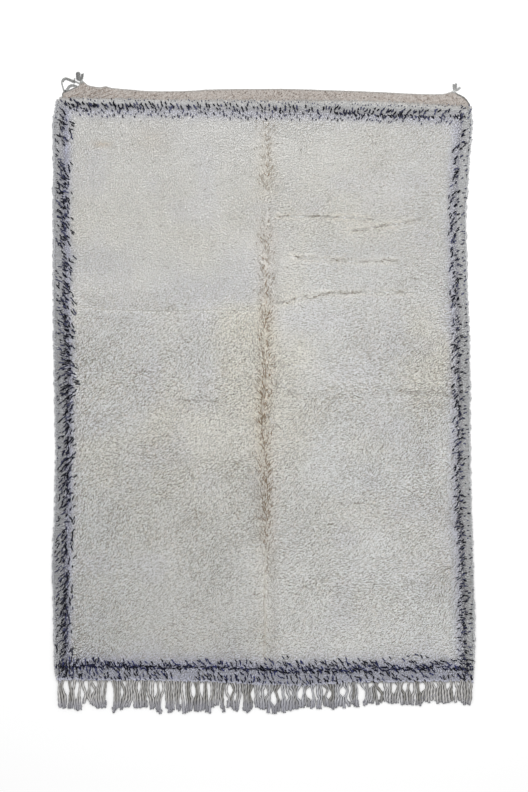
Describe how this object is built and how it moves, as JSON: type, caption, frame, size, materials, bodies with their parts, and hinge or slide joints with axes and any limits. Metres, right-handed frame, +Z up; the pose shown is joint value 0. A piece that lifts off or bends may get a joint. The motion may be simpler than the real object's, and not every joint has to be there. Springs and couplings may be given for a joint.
{
  "type": "beni ourain rug",
  "caption": "Hand-knotted long-pile wool rug with a speckled dark border line, a flat-woven hem with tied corner cords at one end and a fringe at the other.",
  "frame": {"origin": "on the floor under the middle of the rug's box, fringe and corner tassels counted, free corner cords not", "axes": "+X across the rug, +Y along it towards the flat-woven hem, +Z up out of the pile"},
  "size_m": [2.0378, 3.0618, 0.0309],
  "materials": {
    "pile_wool": "ivory hand-spun wool pile",
    "warp_wool": "grey-beige two-ply warp ends",
    "tie_wool": "grey knotted wool ends",
    "cord_wool": "grey twisted wool cord"
  },
  "bodies": {
    "root": {"rug": "pile_wool", "fringe": "warp_wool", "tassel_left": "tie_wool", "tassel_right": "tie_wool", "loop_outer": "cord_wool", "loop_inner": "cord_wool"}
  },
  "joints": []
}
